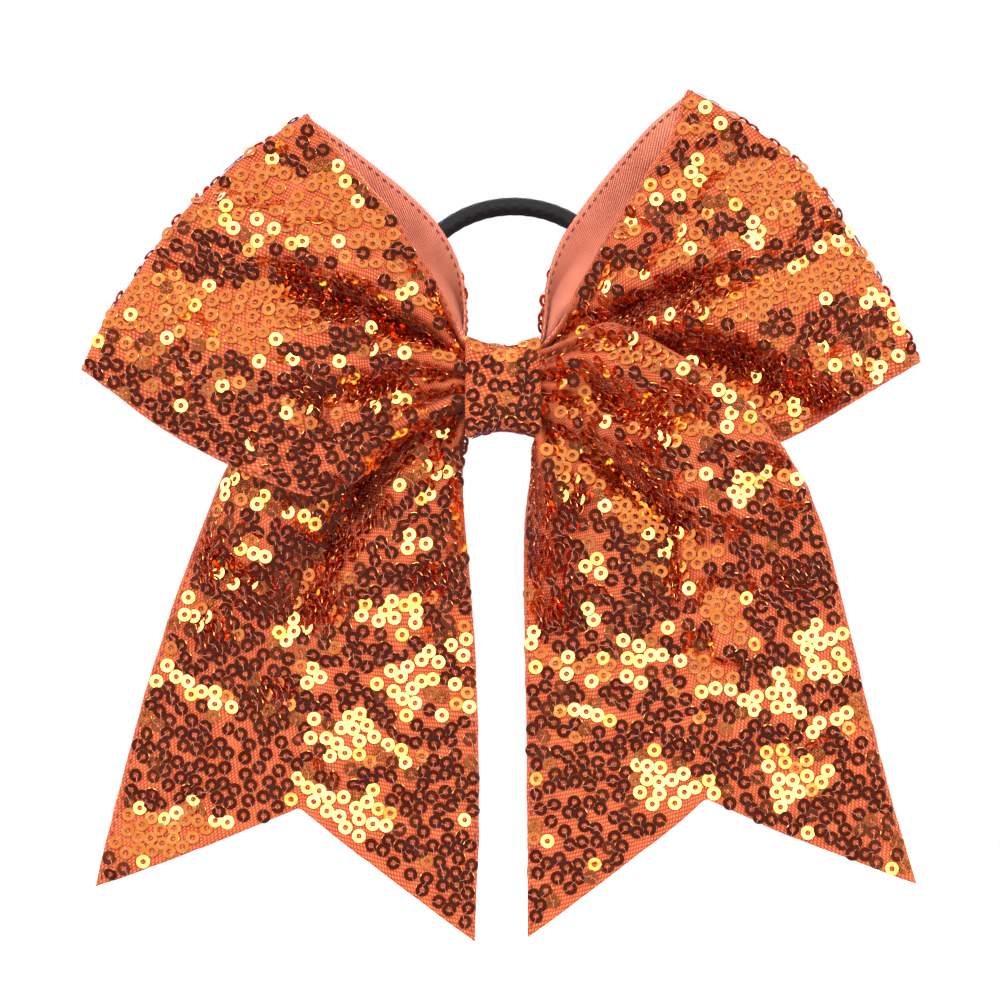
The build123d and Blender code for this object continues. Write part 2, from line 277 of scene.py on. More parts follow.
LEFT_TAIL_FOLDS = [
    ([(-9, -4), (-18, -11), (-26.5, -17), (-31, -24), (-36, -33), (-41, -42), (-46, -54)],
     (-2, -4.5, -4.5, 0), (2.5, 6)),
    ([(-12, -11), (-19, -18), (-21, -28), (-23, -42)], (2, 3, 0.5), (3.5, 7)),
    ([(-40, -12), (-47, -20), (-52, -32), (-56, -44)], (1.5, 3, 0.5), (6, 9)),
    ([(-8, -12), (-8, -30), (-6, -52)], (-2, -0.6), (3, 6)),
]
RIGHT_TAIL_FOLDS = [
    ([(9, 4.6), (24, 3.5), (36, 2.5), (45, -4), (51, -12)], (1.5, 2.5, 2.5), (3, 5)),
    ([(7.6, -0.5), (17, -1.2), (25, -4), (37, -4.5)], (-2, -3.5, -1.5), (1.8, 3.5)),
    ([(11, -4), (24, -9), (34, -12), (45, -15), (52, -17)], (1.5, 3, 4), (2.5, 6)),
    ([(9, -7), (18, -14), (27, -21), (32.5, -27), (35, -36), (36, -44)], (-2.5, -5, -4.5, 0), (2.2, 6)),
    ([(8, -14), (13, -24), (18, -34)], (2, 0.8), (3.5, 6)),
    ([(5, -16), (4.5, -50)], (-2, -0.6), (3, 5)),
]
BACK_FOLDS = {
    1: [
        ([(-9, 8), (-22, 16), (-38, 24), (-56, 28)], (1.5, 3, 1), (3, 8)),
        ([(-9, 2), (-26, 5), (-46, 8), (-64, 8)], (-0.4, -0.8, -2.4, -1), (3, 8)),
        ([(-9, 16), (-16, 26), (-26, 36)], (-1.5, -2), (3, 6)),
    ],
    -1: [
        ([(9, 10), (22, 20), (38, 28), (54, 32)], (1.5, 3, 1), (3, 8)),
        ([(9, 0), (26, 4), (46, 8), (64, 6)], (-0.4, -0.8, -2.4, -1), (3, 8)),
        ([(9, 18), (16, 28), (26, 40)], (-1.5, -2), (3, 6)),
    ],
}

# Small patches of cloth and how far they tip upwards: (x, z, radius, degrees).
GLINT = 11.2
SLOPE = 20.0
LEVEL = 0.0
LEFT_LOOP_SPOTS = (
    (-37, 46, 6, LEVEL), (-50, 44, 5, LEVEL), (-45, 38, 5.5, SLOPE), (-34, 37, 6, SLOPE),
    (-24, 30, 5, SLOPE), (-59, 30, 3.2, GLINT), (-52, 31, 3.4, GLINT), (-45, 30, 3.2, GLINT),
    (-37, 28, 3, GLINT), (-30, 26, 3, GLINT), (-19, 18, 2.8, GLINT), (-61, 23, 4.8, LEVEL),
    (-51, 24, 4.6, LEVEL), (-70, 15, 5.6, SLOPE), (-61, 15, 6, SLOPE), (-51, 14, 5.6, SLOPE),
    (-43, 11, 4.6, SLOPE), (-75, 5, 6, LEVEL), (-65, 4, 5.2, LEVEL), (-55, 3, 5.4, LEVEL),
    (-38, 5, 5.4, LEVEL), (-28, 7, 4, LEVEL), (-63, -4, 3.2, GLINT), (-55, -1, 2.6, GLINT),
    (-47, -7, 6, LEVEL), (-48, -14, 2.8, GLINT), (-35, -13, 5.6, LEVEL),
)
RIGHT_LOOP_SPOTS = (
    (39, 55, 4.4, SLOPE), (44, 50, 4.2, GLINT), (36, 42, 3, GLINT), (49, 45, 5, LEVEL),
    (57, 40, 5.8, LEVEL), (49, 37, 5, SLOPE), (41, 37, 4.4, SLOPE), (33, 32, 6, LEVEL),
    (41, 30, 5.4, LEVEL), (48, 30, 3, GLINT), (35, 25, 3, GLINT), (25, 26, 4.8, LEVEL),
    (66, 30, 5.8, LEVEL), (57, 30, 5.2, LEVEL), (69, 21, 5.8, SLOPE), (60, 20, 5.6, SLOPE),
    (52, 17, 4.6, SLOPE), (76, 11, 6.2, LEVEL), (66, 11, 5.6, LEVEL), (56, 9, 5.6, LEVEL),
    (75, 3, 3.8, GLINT),
)
LEFT_TAIL_SPOTS = (
    (-48, -24, 4, GLINT), (-41, -25, 3.6, GLINT), (-52, -31, 3.8, GLINT), (-54, -39, 3.4, GLINT),
    (-63, -45, 4.4, GLINT), (-66, -57, 5, GLINT), (-57, -61, 4.6, GLINT), (-49, -66, 6, LEVEL),
    (-13, -16, 3.2, GLINT), (-17, -31, 3.8, GLINT), (-20, -45, 6.8, GLINT), (-11, -52, 5, GLINT),
    (-20, -59, 7.4, GLINT), (-10, -63, 4.6, GLINT), (-38, -57, 3.4, GLINT), (-36, -68, 3.8, GLINT),
    (-28, -71, 7.2, GLINT), (-18, -74, 4.6, GLINT), (-40, -80, 4.2, GLINT), (-31, -85, 8, GLINT),
    (-50, -78, 6.4, LEVEL), (-62, -74, 6.4, LEVEL), (-72, -90, 7, SLOPE), (-61, -88, 5.4, SLOPE),
    (-14, -83, 7, LEVEL), (-10, -98, 6, LEVEL),
)
RIGHT_TAIL_SPOTS = (
    (45, -7, 3.8, GLINT), (53, -11, 4.4, GLINT), (41, -17, 4, GLINT), (56, -17, 4.4, GLINT),
    (48, -21, 6.4, GLINT), (58, -31, 6.6, LEVEL), (50, -31, 4.6, LEVEL), (39, -34, 6.2, SLOPE),
    (42, -46, 7, SLOPE), (40, -57, 5.6, SLOPE), (18, -36, 3.8, GLINT), (20, -45, 4.2, GLINT),
    (27, -54, 6.4, GLINT), (8, -53, 4.2, GLINT), (17, -56, 4, SLOPE), (18, -65, 4.4, GLINT),
    (38, -69, 5.6, LEVEL), (33, -79, 7.4, GLINT), (63, -51, 7.4, GLINT), (54, -62, 6.6, GLINT),
    (67, -66, 4.8, GLINT), (57, -77, 7.2, GLINT), (71, -79, 6, LEVEL), (17, -78, 6.6, LEVEL),
    (12, -94, 6.6, LEVEL),
)

# Zones where the sequins crowd and stand unevenly, and where the cloth under them is painted darker as shade:
# (x, z, radius).
RUFFLES = (
    (-42, 20, 5), (-33, 16, 5.6), (-24, 11, 5), (-37, -2, 5.6), (-26, -1, 5), (36, 17, 5.2), (27, 14, 5),
    (44, 5, 6), (54, 1, 6), (62, -3, 4.6), (-57, -34, 4.8), (-58, -48, 5), (-48, -40, 6), (-37, -42, 6.4),
    (-36, -30, 6), (-29, -22, 5.6), (-46, -61, 4.6), (-14, -38, 4.6), (12, -22, 5.6), (10, -33, 5.4),
    (24, -20, 5.6), (31, -27, 5.8), (33, -38, 4.8), (28, -10, 5), (11, -44, 4.6), (57, -38, 4.2),
)


def fold_depth(s):
    """Depth of a loop's outer fold, from its upper to its lower end."""
    return -9.2 - 1.2 * s


def left_front_depth(s, t):
    bulge = (3.6 + 1.2 * s) * np.sin(pi * t**1.25) ** 1.3
    return FRONT_LEVEL + (fold_depth(s) - FRONT_LEVEL) * smooth(t) - bulge


def right_front_depth(s, t):
    bulge = (4.0 - 0.6 * s) * np.sin(pi * t**1.9) ** 1.2
    return MIDDLE_LEVEL + (fold_depth(s) - MIDDLE_LEVEL) * smooth(t) - bulge


def back_depth(s, t):
    fold = fold_depth(s) + 2 * FOLD_RADIUS
    return BACK_LEVEL + (fold - BACK_LEVEL) * smooth(t / 0.6) + 4.0 * np.sin(pi * t**2.2) ** 1.3


def hem_curl(s, width):
    """How far a ribbon's edges curl back, as a share."""
    return np.exp(-((s / width) ** 2)) + np.exp(-(((1 - s) / width) ** 2))


def left_tail_depth(s, t):
    return MIDDLE_LEVEL - 1.4 * smooth(t / 0.4) + 1.5 * hem_curl(s, 0.06) * smooth(t / 0.2)


def right_tail_depth(s, t):
    lift = 6.5 * (1 - s) * np.sin(pi * np.clip(t / 0.62, 0, 1)) ** 1.2
    return FRONT_LEVEL - 2.2 * smooth(t / 0.4) - lift + 1.5 * hem_curl(s, 0.05) * smooth(t / 0.2)


def v_cut(pairs, depth):
    """Where each row of a tail stops for a V cut of that depth."""
    one, two = edges_of(pairs)
    middle = (one + two) / 2
    share = depth / steps_of(middle).sum()
    return lambda s: 1.0 - share * (1.0 - np.abs(2 * s - 1.0))


def kept_behind(back, front, gap):
    """The back layer, moved softly back where it is closer than gap to the front."""
    front_points = front.reshape(-1, 3)
    push = np.zeros(back.shape[:2])
    for column in range(back.shape[1]):
        points = back[:, column]
        away = np.hypot(*(points[:, None, k] - front_points[None, :, k] for k in (0, 2)))
        nearest = away.argmin(1)
        least = front_points[nearest, 1] + gap - away[np.arange(len(points)), nearest]
        push[:, column] = np.maximum(least - points[:, 1], 0.0)
    for _ in range(4):
        for axis in (0, 1):
            push = (np.roll(push, 1, axis) + push + np.roll(push, -1, axis)) / 3
    moved = back.copy()
    moved[..., 1] += push * 1.15
    return moved


def loop_strip(front, back, fold, front_depth, folds, spots, seed, side):
    """A loop as one grid: front layer, outer fold, and back layer to the knot."""
    front_grid = panel(front, front_depth, folds, spots, seed, FRONT_RIPPLE, pleat=1.25)
    back_grid = panel(back, back_depth, BACK_FOLDS[side], (), seed + 1, RIPPLE, pleat=0.75)
    gap = front_grid[:, -1, 1] + 2 * FOLD_RADIUS - back_grid[:, -1, 1]
    back_grid[..., 1] += gap[:, None] * smooth((np.linspace(0, 1, back_grid.shape[1]) - 0.55) / 0.45)
    back_grid = kept_behind(back_grid, front_grid, LAYER_GAP)
    outline = through(fold, [24] * (len(fold) - 1))
    length = lengths_along(outline)
    edge = sampled(np.linspace(0, length[-1], ROWS), length, outline)
    run = np.gradient(edge, axis=0)
    run /= np.linalg.norm(run, axis=1)[:, None]
    outward = np.stack([run[:, 1], -run[:, 0]], axis=1) * side
    inner = edge - outward * FOLD_RADIUS
    for grid in (front_grid, back_grid):
        shift = inner - grid[:, -1][:, [0, 2]]
        ease = (np.linspace(0, 1, grid.shape[1]) ** 1.5)[None, :, None]
        grid[..., [0, 2]] += shift[:, None] * ease
    bend = []
    start, stop = front_grid[:, -1, 1], back_grid[:, -1, 1]
    for k in range(1, FOLD_STEPS):
        angle = pi * k / FOLD_STEPS
        y = (start + stop) / 2 - (stop - start) / 2 * math.cos(angle)
        xz = inner + outward * FOLD_RADIUS * math.sin(angle)
        bend.append(np.stack([xz[:, 0], y, xz[:, 1]], axis=1))
    return np.concatenate([front_grid, np.stack(bend, axis=1), back_grid[:, ::-1]], axis=1)


left_outlines = (LEFT_FRONT, LEFT_BACK, LEFT_FOLD)
left_loop = loop_strip(*left_outlines, left_front_depth, LEFT_LOOP_FOLDS, LEFT_LOOP_SPOTS, 11, 1)
right_outlines = (RIGHT_FRONT, RIGHT_BACK, RIGHT_FOLD)
right_loop = loop_strip(*right_outlines, right_front_depth, RIGHT_LOOP_FOLDS, RIGHT_LOOP_SPOTS, 21, -1)
left_cut = v_cut(LEFT_TAIL, LEFT_V)
left_tail = panel(LEFT_TAIL, left_tail_depth, LEFT_TAIL_FOLDS, LEFT_TAIL_SPOTS, 31, RIPPLE, left_cut)
right_cut = v_cut(RIGHT_TAIL, RIGHT_V)
right_tail = panel(RIGHT_TAIL, right_tail_depth, RIGHT_TAIL_FOLDS, RIGHT_TAIL_SPOTS, 41, RIPPLE, right_cut)


def grid_normals(grid):
    return unit(np.cross(np.gradient(grid, axis=0), np.gradient(grid, axis=1)))


def ribbon_normals(grid):
    """Unit normals of a ribbon on its sequined side, which faces -y beside the knot."""
    n = grid_normals(grid)
    return n if n[:, 10:30, 1].mean() < 0 else -n


# ---- meshes ----
def in_scene(name, data):
    obj = bpy.data.objects.new(name, data)
    scene.collection.objects.link(obj)
    return obj


def new_object(name, verts, faces, finish, flat=False):
    mesh = bpy.data.meshes.new(name)
    mesh.from_pydata((np.asarray(verts) * MM).tolist(), [], faces)
    mesh.validate()
    mesh.update()
    mesh.polygons.foreach_set("use_smooth", [not flat] * len(mesh.polygons))
    mesh.materials.append(finish)
    return in_scene(name, mesh)


def crowding(grid):
    """How crowded the sequins are at each point of a grid, 0..1; it also sets where the cloth is painted in
    shade.
    """
    crowded = np.zeros(grid.shape[:2])
    for x, z, radius in RUFFLES:
        away = ((grid[..., 0] - x) ** 2 + (grid[..., 2] - z) ** 2) / radius**2
        crowded = np.maximum(crowded, np.exp(-(away**2)))
    return crowded


def sheet_object(name, grid, n, near, far, finish):
    """A closed sheet between two offsets from a grid along its normals n; far is the sequined side.

    Its on_cloth attribute is each point's place on the flat cloth, which the weave and ribs follow.
    Its crowded attribute is how much painted shade the cloth colour gets where the sequins crowd over it.
    """
    rows, columns = grid.shape[:2]
    size = rows * columns
    verts = np.vstack([(grid + n * far).reshape(-1, 3), (grid + n * near).reshape(-1, 3)])
    index = np.arange(size).reshape(rows, columns)
    quads = np.stack([index[:-1, :-1], index[:-1, 1:], index[1:, 1:], index[1:, :-1]], axis=-1).reshape(-1, 4)
    rim = np.concatenate([index[0, :-1], index[:-1, -1], index[-1, :0:-1], index[:0:-1, 0]])
    after = np.roll(rim, -1)
    sides = np.stack([rim, rim + size, after + size, after], axis=-1)
    faces = np.concatenate([quads, quads[:, ::-1] + size, sides])
    a, b, c = grid[1, 11], grid[1, 12], grid[2, 12]
    if np.cross(b - a, c - b) @ n[1, 11] < 0:
        faces = faces[:, ::-1]  # every face looks outwards
    obj = new_object(name, verts, faces.tolist(), finish)
    length = steps_of(grid, 1).mean(0).sum()
    width = steps_of(grid).sum(0).max()
    across, along = np.meshgrid(np.linspace(0, width, rows), np.linspace(0, length, columns), indexing="ij")
    flat = np.column_stack([across.ravel(), along.ravel(), np.zeros(size)]) * MM
    attribute = obj.data.attributes.new("on_cloth", "FLOAT_VECTOR", "POINT")
    attribute.data.foreach_set("vector", np.vstack([flat, flat]).ravel())
    # painted shade mask: the cloth colour is painted darker where this is high
    crowded = obj.data.attributes.new("crowded", "FLOAT", "POINT")
    crowded.data.foreach_set("value", np.tile(crowding(grid).ravel(), 2))
    return obj


def scatter(grid, n, seed, margin=SEQUIN_MARGIN, open_end=False, in_knot=False):
    """Places for sequins, even but irregular, and closer where the ribbon is gathered.

    For each sequin: its middle, the normal and the ribbon's direction there, and, both 0..1, how gathered the
    ribbon is and how far along it the sequin lies.
    """
    rng = np.random.default_rng(seed)
    along = np.gradient(grid, axis=1)
    a = grid[:-1, :-1]
    area = np.linalg.norm(np.cross(grid[1:, :-1] - a, grid[:-1, 1:] - a), axis=2)
    across_length = steps_of(grid).sum(0)
    closeness = np.ones(grid.shape[:2]) * np.clip((across_length / RIBBON) ** 0.45, CLOSEST, 1.0)
    closeness = np.maximum(closeness * (1 - 0.32 * crowding(grid)), CLOSEST)
    if in_knot:
        closeness[:] = 0.9
    weight = area / closeness[:-1, :-1] ** 2
    tries = int(weight.sum() / SEQUIN_SPACING**2 * SEQUIN_TRIES)
    pick = np.searchsorted(np.cumsum(weight.ravel()), rng.uniform(0, weight.sum(), tries))
    row, column = np.divmod(np.clip(pick, 0, area.size - 1), area.shape[1])
    u = rng.uniform(0, 1, (tries, 1))
    v = rng.uniform(0, 1, (tries, 1))

    def at(field):
        near = field[row, column] * (1 - u) + field[row + 1, column] * u
        far = field[row, column + 1] * (1 - u) + field[row + 1, column + 1] * u
        return near * (1 - v) + far * v

    place, normal, run = at(grid), at(n), at(along)
    gap = SEQUIN_SPACING * closeness[row, column]
    from_edge = np.minimum(row + u[:, 0], grid.shape[0] - 1 - row - u[:, 0]) / (grid.shape[0] - 1)
    inset = margin + 2.2 * (1 - closeness[row, column])
    keep = from_edge * across_length[column] > inset + rng.normal(0, 0.15, tries)
    if open_end:
        keep &= np.linalg.norm(place - grid[row, -1], axis=1) > margin + 0.3
    if not in_knot:
        keep &= (np.abs(place[:, 0]) > SEQUINS_CLEAR[0]) | (np.abs(place[:, 2]) > SEQUINS_CLEAR[1])
    taken = {}
    chosen = []
    cells = (place // SEQUIN_SPACING).astype(int)
    around = [(dx, dy, dz) for dx in (-1, 0, 1) for dy in (-1, 0, 1) for dz in (-1, 0, 1)]
    for k in np.flatnonzero(keep):
        x, y, z = cells[k]
        near = [j for dx, dy, dz in around for j in taken.get((x + dx, y + dy, z + dz), ())]
        if near and (((place[near] - place[k]) ** 2).sum(1) < gap[k] ** 2).any():
            continue
        taken.setdefault((x, y, z), []).append(k)
        chosen.append(k)
    chosen = np.array(chosen)
    gathered = 1 - (closeness[row, column][chosen] - CLOSEST) / 0.4
    far_along = column[chosen] / grid.shape[1]
    return place[chosen], unit(normal[chosen]), unit(run[chosen]), gathered, far_along


def tilted(normal, seed, usual, loose=10.0, aside=0.0):
    """Normals of uneven sequins, tilted by about usual degrees, and a few by about loose ones.

    Sequins that crowd each other also lean sideways: aside is the tangent of how far.
    """
    rng = np.random.default_rng(seed)
    amount = np.where(rng.uniform(size=len(normal)) < LOOSE_SHARE, loose, usual)[:, None]
    lean = rng.normal(0, 1, normal.shape) * np.tan(np.radians(amount)) * 0.8
    lean += unit(np.cross(normal, (0.0, 0.0, 1.0))) * np.reshape(aside, (-1, 1))
    return unit(normal + lean - normal * (lean * normal).sum(1)[:, None])


def circles(angles, side, lift, squeeze=1.0):
    """Points round unit circles spanned by side and lift, flattened along lift."""
    along, up = np.cos(angles)[:, None], np.sin(angles)[:, None]
    return along * side[..., None, :] + up * lift[..., None, :] * squeeze


def rings_object(name, places, normal, run):
    """Flat ring sequins as one mesh."""
    side = unit(np.cross(normal, run))
    ahead = np.cross(side, normal)
    angles = 2 * pi * np.arange(SEQUIN_SIDES) / SEQUIN_SIDES
    half = SEQUIN_THICKNESS / 2
    rim = SEQUIN_OUTER - 0.05
    section = [(SEQUIN_HOLE, half), (rim, half), (SEQUIN_OUTER, -half * 0.3), (SEQUIN_HOLE, -half)]
    circle = circles(angles, ahead, side)
    rings = [places[:, None] + circle * radius + normal[:, None] * height for radius, height in section]
    verts = np.stack(rings, axis=1)
    count, parts, sides = verts.shape[:3]
    index = np.arange(count * parts * sides).reshape(count, parts, sides)
    after = np.roll(index, -1, axis=2)
    outer = np.roll(index, -1, axis=1)
    quads = np.stack([index, outer, np.roll(outer, -1, axis=2), after], axis=-1).reshape(-1, 4)
    return new_object(name, verts.reshape(-1, 3), quads.tolist(), sequin_foil, flat=True)


def tube_faces(count, steps, sides):
    """Faces of closed tubes whose points are numbered by tube, step along it and side."""
    index = np.arange(count * steps * sides).reshape(count, steps, sides)
    after = np.roll(index, -1, axis=2)
    quads = np.stack([index[:, :-1], after[:, :-1], after[:, 1:], index[:, 1:]], axis=-1).reshape(-1, 4)
    return quads.tolist() + index[:, 0, ::-1].tolist() + index[:, -1].tolist()


def tubes_object(name, paths, up, radius, finish, sides=6, squeeze=1.0, taper=0.4):
    """Many short tubes as one mesh: paths is (tube, point, 3), and up a normal for each tube.

    squeeze is a tube's height as a share of its width, and taper the size of its ends.
    """
    paths = np.asarray(paths)
    count, steps = paths.shape[:2]
    ahead = unit(np.gradient(paths, axis=1))
    side = unit(np.cross(ahead, np.broadcast_to(np.asarray(up)[:, None], paths.shape)))
    lift = np.cross(side, ahead)
    angles = 2 * pi * (np.arange(sides) + 0.5) / sides
    size = np.full(steps, radius)
    size[[0, -1]] *= taper
    verts = paths[:, :, None] + circles(angles, side, lift, squeeze) * size[None, :, None, None]
    return new_object(name, verts.reshape(-1, 3), tube_faces(count, steps, sides), finish)


def thread_paths(places, normal, run, seed):
    """Sewing thread from each sequin's hole out over its rim, on some over both sides."""
    rng = np.random.default_rng(seed)
    side = np.cross(normal, run)
    angle = rng.normal(0, 0.7, (len(places), 1))
    second = rng.uniform(size=len(places)) < 0.3
    high = SEQUIN_THICKNESS / 2 + 0.04
    reach = [(0.0, -0.1), (0.5, high), (0.8, high + 0.04), (1.2, high), (SEQUIN_OUTER + 0.35, -0.2)]
    paths, ups = [], []
    for which, turn in ((np.ones(len(places), bool), 0.0), (second, pi + 0.5)):
        toward = np.cos(angle + turn) * run + np.sin(angle + turn) * side
        bow = np.cross(normal, toward)
        steps = [places + toward * out + normal * up + bow * 0.25 * out * (2 - out) for out, up in reach]
        paths.append(np.stack(steps, axis=1)[which])
        ups.append(normal[which])
    return np.concatenate(paths), np.concatenate(ups)


def stitch_paths(grid, n, lift):
    """Running stitches just inside both long edges of a ribbon, on the side n points to."""
    paths, ups = [], []
    for rows, rises in ((grid, n), (grid[::-1], n[::-1])):
        width = np.cumsum(steps_of(rows), axis=0)[-1]
        share = np.minimum(STITCH_MARGIN / width, 0.4) * (grid.shape[0] - 1)
        low = share.astype(int)
        part = (share - low)[:, None]
        cols = np.arange(grid.shape[1])
        line = rows[low, cols] * (1 - part) + rows[low + 1, cols] * part
        up = unit(rises[low, cols])
        length = lengths_along(line)
        start = STITCH_PITCH * 3
        while start + STITCH_LENGTH < length[-1] - 1.0:
            at = start + np.array([0.0, 0.18, 0.5, 0.82, 1.0]) * STITCH_LENGTH
            point = sampled(at, length, line)
            rise = sampled(at, length, up)
            point = point + rise * (lift + np.array([-0.12, 0.08, 0.13, 0.08, -0.12]))[:, None]
            if abs(point[2, 0]) > STITCHES_CLEAR[0] or abs(point[2, 2]) > STITCHES_CLEAR[1]:
                paths.append(point)
                ups.append(rise[2])
            start += STITCH_PITCH
    return np.array(paths), np.array(ups)


# ---- materials ----
class Look:
    """The nodes of a material or a world, and short ways to add to them."""

    def __init__(self, owner, shader):
        owner.use_nodes = True
        self.owner = owner
        self.tree = owner.node_tree
        self.shader = self.tree.nodes[shader]

    def put(self, socket, value):
        """Set a socket to a value, or link it to another node's output."""
        if isinstance(value, bpy.types.NodeSocket):
            self.tree.links.new(value, socket)
        else:
            socket.default_value = value

    def node(self, kind, **inputs):
        made = self.tree.nodes.new(kind)
        for name, value in inputs.items():
            self.put(made.inputs[name.replace("_", " ")], value)
        return made

    def place(self):
        return self.node("ShaderNodeTexCoord").outputs["Object"]

    def noise(self, size, detail=3.0, roughness=0.55):
        """Cloudy variation with patches of about size millimetres."""
        made = self.node("ShaderNodeTexNoise", Vector=self.place(), Detail=detail, Roughness=roughness)
        made.inputs["Scale"].default_value = 1 / (size * MM)
        return made.outputs["Fac"]

    def attribute(self, name, output="Vector"):
        made = self.node("ShaderNodeAttribute")
        made.attribute_name = name
        return made.outputs[output]

    def mix(self, factor, colour_a, colour_b):
        made = self.node("ShaderNodeMix")
        made.data_type = "RGBA"
        for socket, value in zip((0, 6, 7), (factor, colour_a, colour_b)):
            self.put(made.inputs[socket], value)
        return made.outputs[2]

    def stripes(self, pitch, angle=0.0, distortion=0.4, on_cloth=False):
        """Soft stripes pitch millimetres apart, askew by angle degrees, on the object or the flat cloth."""
        place = self.attribute("on_cloth") if on_cloth else self.place()
        lean = self.node("ShaderNodeMapping", Vector=place, Rotation=(0.0, 0.0, math.radians(angle)))
        lean = lean.outputs["Vector"]
        made = self.node("ShaderNodeTexWave", Vector=lean, Distortion=distortion, Detail=1.0)
        made.inputs["Scale"].default_value = pi / 10 / (pitch * MM)
        return made.outputs["Fac"]

    def math(self, operation, a, b=0.0):
        made = self.node("ShaderNodeMath")
        made.operation = operation
        for socket, value in zip(made.inputs, (a, b)):
            self.put(socket, value)
        return made.outputs["Value"]

    def ramp(self, factor, *stops):
        """Colours along a factor; stops are two of (position, colour)."""
        made = self.node("ShaderNodeValToRGB", Fac=factor)
        for point, (position, colour) in zip(made.color_ramp.elements, stops):
            point.position = position
            point.color = (*colour, 1.0)
        return made.outputs["Color"]

    def grey_range(self, factor, low, high):
        return self.node("ShaderNodeMapRange", Value=factor, To_Min=low, To_Max=high).outputs["Result"]

    def bump(self, height, depth, strength):
        """Bump of a height pattern that is depth millimetres deep."""
        made = self.node("ShaderNodeBump", Height=height, Distance=depth * MM, Strength=strength)
        self.put(self.shader.inputs["Normal"], made.outputs["Normal"])

    def set(self, **inputs):
        for name, value in inputs.items():
            self.put(self.shader.inputs[name.replace("_", " ")], value)
        return self.owner


def material(name):
    return Look(bpy.data.materials.new(name), "Principled BSDF")


def sequin_look():
    look = material("sequin_foil")
    colour = look.ramp(look.noise(2.2, detail=1.0), (0.3, (0.92, 0.26, 0.04)), (0.7, (1.0, 0.36, 0.08)))
    rough = look.grey_range(look.noise(1.1), 0.08, 0.14)
    look.bump(look.noise(1.6, detail=1.0), 0.03, 0.3)
    return look.set(Base_Color=colour, Metallic=1.0, Roughness=rough, Coat_Weight=0.1, Coat_Roughness=0.08)


def cloth_look():
    look = material("sequin_backing_cloth")
    rows = look.stripes(0.75, 20, on_cloth=True)
    weave = look.math("MULTIPLY", rows, look.stripes(0.7, 110, on_cloth=True))
    tone = look.math("ADD", look.math("MULTIPLY", weave, 0.75), look.math("MULTIPLY", look.noise(4.0), 0.35))
    open_colour = look.ramp(tone, (0.15, (0.3, 0.035, 0.012)), (0.75, (0.78, 0.19, 0.06)))
    # Painted shade: where the sequins crowd, the cloth is painted darker and redder, standing in for the
    # shade they cast on it.
    painted_shade_colour = look.ramp(tone, (0.15, (0.17, 0.013, 0.005)), (0.75, (0.54, 0.075, 0.022)))
    colour = look.mix(look.attribute("crowded", "Fac"), open_colour, painted_shade_colour)
    look.bump(weave, 0.2, 0.8)
    look.set(Base_Color=colour, Roughness=0.85, Specular_IOR_Level=0.2)
    return look.set(Sheen_Weight=0.06, Sheen_Tint=(1.0, 0.6, 0.4, 1.0))


def lining_look():
    look = material("ribbed_lining")
    rib = look.stripes(0.56, 30, distortion=0.15, on_cloth=True)
    tone = look.math("ADD", look.math("MULTIPLY", rib, 0.55), look.math("MULTIPLY", look.noise(6.0), 0.45))
    colour = look.ramp(tone, (0.2, (0.4, 0.085, 0.045)), (0.75, (0.8, 0.25, 0.14)))
    look.bump(rib, 0.16, 0.9)
    return look.set(Base_Color=colour, Roughness=0.66, Sheen_Weight=0.12, Sheen_Tint=(1.0, 0.7, 0.5, 1.0))


def thread_look(name, dark, light, pitch=0.35):
    look = material(name)
    twist = look.stripes(pitch, 35)
    colour = look.ramp(twist, (0.15, dark), (0.85, light))
    look.bump(twist, 0.05, 0.7)
    return look.set(Base_Color=colour, Roughness=0.6, Sheen_Weight=0.2)


def braid_look():
    look = material("elastic_braid")
    fibre = look.stripes(0.16, 30, distortion=1.5)
    tone = look.math("MULTIPLY", fibre, look.noise(1.5))
    colour = look.ramp(tone, (0.1, (0.001, 0.001, 0.001)), (0.6, (0.008, 0.0075, 0.008)))
    look.bump(fibre, 0.04, 0.6)
    return look.set(Base_Color=colour, Roughness=0.6, Specular_IOR_Level=0.3, Sheen_Weight=0.05)


def rubber_look():
    look = material("elastic_rubber")
    colour = look.ramp(look.noise(1.2), (0.3, (0.012, 0.011, 0.01)), (0.7, (0.035, 0.033, 0.03)))
    look.bump(look.noise(0.5), 0.03, 0.4)
    return look.set(Base_Color=colour, Roughness=look.grey_range(look.noise(2.0), 0.45, 0.65))


def joint_look():
    look = material("elastic_bonded_joint")
    colour = look.ramp(look.noise(0.8), (0.3, (0.02, 0.02, 0.021)), (0.7, (0.06, 0.058, 0.06)))
    look.bump(look.noise(0.4), 0.05, 0.6)
    return look.set(Base_Color=colour, Roughness=look.grey_range(look.noise(1.0), 0.35, 0.55))


sequin_foil = sequin_look()
cloth = cloth_look()
lining = lining_look()
sewing_thread = thread_look("pale_sewing_thread", (0.4, 0.14, 0.09), (0.7, 0.36, 0.26))
seam_thread = thread_look("dark_seam_thread", (0.09, 0.013, 0.008), (0.2, 0.032, 0.02))
gathering_thread = thread_look("gathering_thread", (0.35, 0.09, 0.04), (0.62, 0.2, 0.1))
braid = braid_look()
rubber = rubber_look()
bonded_joint = joint_look()


# ---- loops and tails ----
def thread_object(name, paths, up):
    return tubes_object(name, paths, up, SEWING_THREAD, sewing_thread, sides=4, taper=0.7)


def seam_object(name, grid, n, lift):
    paths, up = stitch_paths(grid, n, lift)
    return tubes_object(name, paths, up, SEAM_THREAD, seam_thread, squeeze=0.6)


